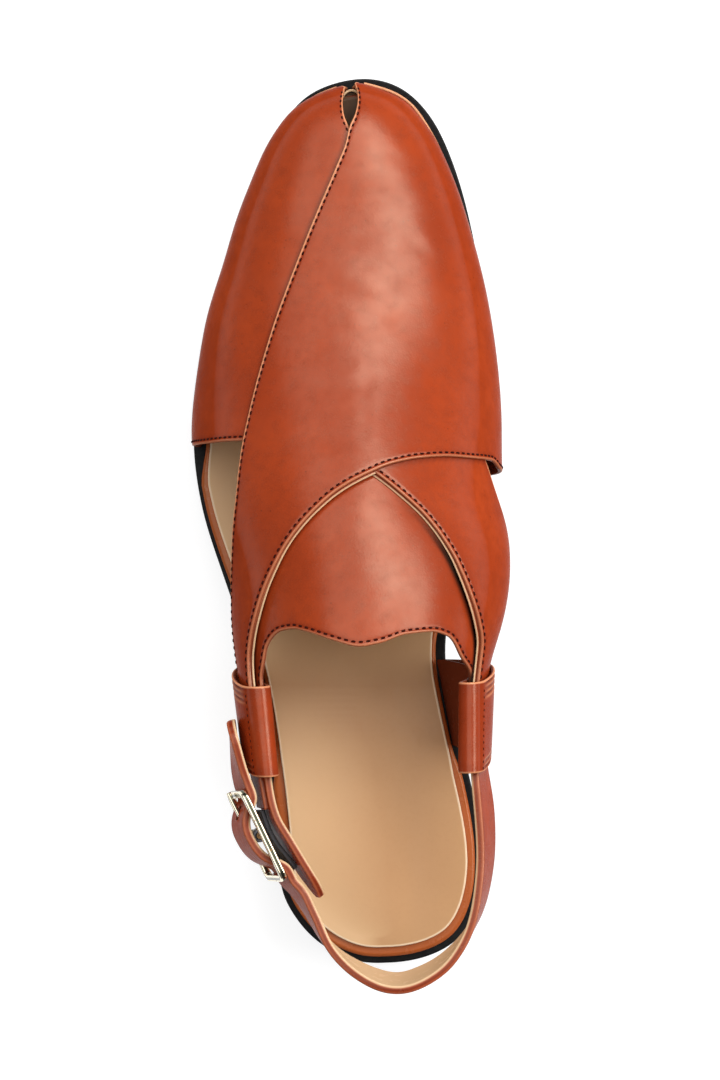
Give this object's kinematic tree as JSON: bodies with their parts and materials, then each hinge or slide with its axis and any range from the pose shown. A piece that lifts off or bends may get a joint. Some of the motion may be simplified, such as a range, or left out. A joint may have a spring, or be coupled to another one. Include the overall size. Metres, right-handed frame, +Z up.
{
  "type": "peshawari chappal",
  "caption": "Left closed-toe leather sandal with crossed panels, toe slit, open sides, folded side loops and a buckled heel strap on a low heel.",
  "frame": {"origin": "on the floor at the middle of the heel block's flat bottom", "axes": "+Y to the toe, +X medial (big toe side), +Z up"},
  "size_m": [0.1017, 0.2914, 0.0869],
  "materials": {
    "upper_leather": "smooth glossy cognac calf",
    "footbed_leather": "smooth undyed leather, satin",
    "sole_rubber": "smooth black, satin edge",
    "elastic": "black woven elastic",
    "buckle_metal": "polished pale gold plate"
  },
  "bodies": {
    "root": {"outsole": "sole_rubber", "heel_block": "sole_rubber", "insole_board": "upper_leather", "sock": "footbed_leather", "upper": "upper_leather", "tongue": "upper_leather", "loop_lateral": "upper_leather", "loop_medial": "upper_leather", "heel_strap": "upper_leather", "buckle_tab": "upper_leather", "buckle_elastic": "elastic", "buckle_frame": "buckle_metal", "buckle_prong": "buckle_metal"}
  },
  "joints": []
}
